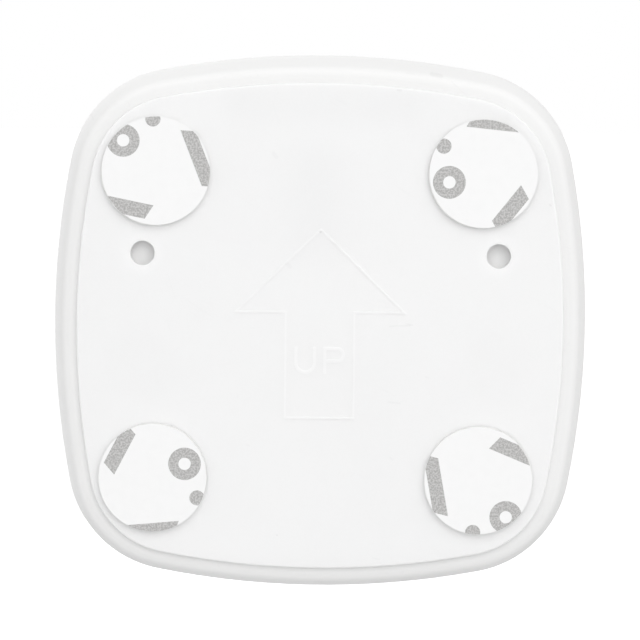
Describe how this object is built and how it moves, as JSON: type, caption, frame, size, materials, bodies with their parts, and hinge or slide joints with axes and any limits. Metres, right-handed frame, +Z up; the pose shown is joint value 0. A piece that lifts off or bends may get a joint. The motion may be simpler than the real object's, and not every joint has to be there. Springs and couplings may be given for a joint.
{
  "type": "motion sensor night light",
  "caption": "Square stick-on battery night light with rounded sides, opal front, dome motion lens, side mode switch and a wall plate with adhesive pads.",
  "frame": {"origin": "middle of the rounded square on the wall plane, the plane of the four adhesive discs' outer faces", "axes": "+Z up on the wall, the way the plate's arrow points; +Y into the wall; the lit front faces -Y"},
  "size_m": [0.08, 0.0329, 0.08],
  "materials": {
    "white_shell": "fine matt moulded white ABS",
    "opal": "satin opal polycarbonate that lets light through",
    "reflector_white": "glossy white moulded plastic",
    "foam": "closed-cell white mounting foam",
    "liner": "white coated release paper with a grey print",
    "nickel_steel": "nickel-plated stamped steel",
    "magnet_nickel": "nickel-plated sintered magnet",
    "board_green": "green solder mask on glass-fibre board",
    "led_body": "white package with yellow phosphor",
    "chip_black": "moulded epoxy",
    "capacitor_can": "bare can",
    "resistor_dark": "glazed thick-film",
    "can_steel": "drawn steel can",
    "filter_glass": "dark infrared filter window",
    "lens_plastic": "milky polyethylene with moulded facets",
    "clear_pipe": "clear acrylic",
    "cell_sleeve": "printed film sleeve over a steel can, plain grey",
    "switch_black": "moulded nylon",
    "screw_zinc": "zinc-plated steel"
  },
  "bodies": {
    "wall_mount": {"adhesive_pad_1": "foam", "adhesive_pad_2": "foam", "adhesive_pad_3": "foam", "adhesive_pad_4": "foam", "mounting_plate": "white_shell", "release_liner_1": "liner", "release_liner_2": "liner", "release_liner_3": "liner", "release_liner_4": "liner", "strike_disc_1": "nickel_steel", "strike_disc_2": "nickel_steel"},
    "lamp": {"battery_cell_1": "cell_sleeve", "battery_cell_2": "cell_sleeve", "battery_cell_3": "cell_sleeve", "battery_spring_1": "nickel_steel", "battery_spring_2": "nickel_steel", "battery_spring_3": "nickel_steel", "board_screws": "screw_zinc", "capacitor_1": "capacitor_can", "capacitor_2": "capacitor_can", "case_screws": "screw_zinc", "contact_bridge_lower": "nickel_steel", "contact_bridge_upper": "nickel_steel", "contact_negative": "nickel_steel", "contact_positive": "nickel_steel", "control_chip_1": "chip_black", "control_chip_2": "chip_black", "diffuser": "opal", "front_shell": "white_shell", "led_1": "led_body", "led_2": "led_body", "led_3": "led_body", "led_4": "led_body", "led_5": "led_body", "led_6": "led_body", "led_7": "led_body", "led_8": "led_body", "light_pipe": "clear_pipe", "light_sensor": "clear_pipe", "magnet_1": "magnet_nickel", "magnet_2": "magnet_nickel", "main_board": "board_green", "pir_lens": "lens_plastic", "rear_shell": "white_shell", "reflector_tray": "reflector_white", "resistor_1": "resistor_dark", "resistor_2": "resistor_dark", "resistor_3": "resistor_dark", "resistor_4": "resistor_dark", "sensor_can": "can_steel", "sensor_header": "can_steel", "sensor_shroud": "white_shell", "sensor_window": "filter_glass", "switch_body": "can_steel"},
    "mode_slider": {"switch_lever": "switch_black", "mode_knob": "white_shell"}
  },
  "joints": [
    {"name": "lamp_release", "type": "slide", "parent": "wall_mount", "child": "lamp", "axis": [0, -1, 0], "range_m": [0, 0.03]},
    {"name": "mode_slide", "type": "slide", "parent": "lamp", "child": "mode_slider", "axis": [1, 0, 0], "range_m": [-0.002, 0.002]}
  ]
}
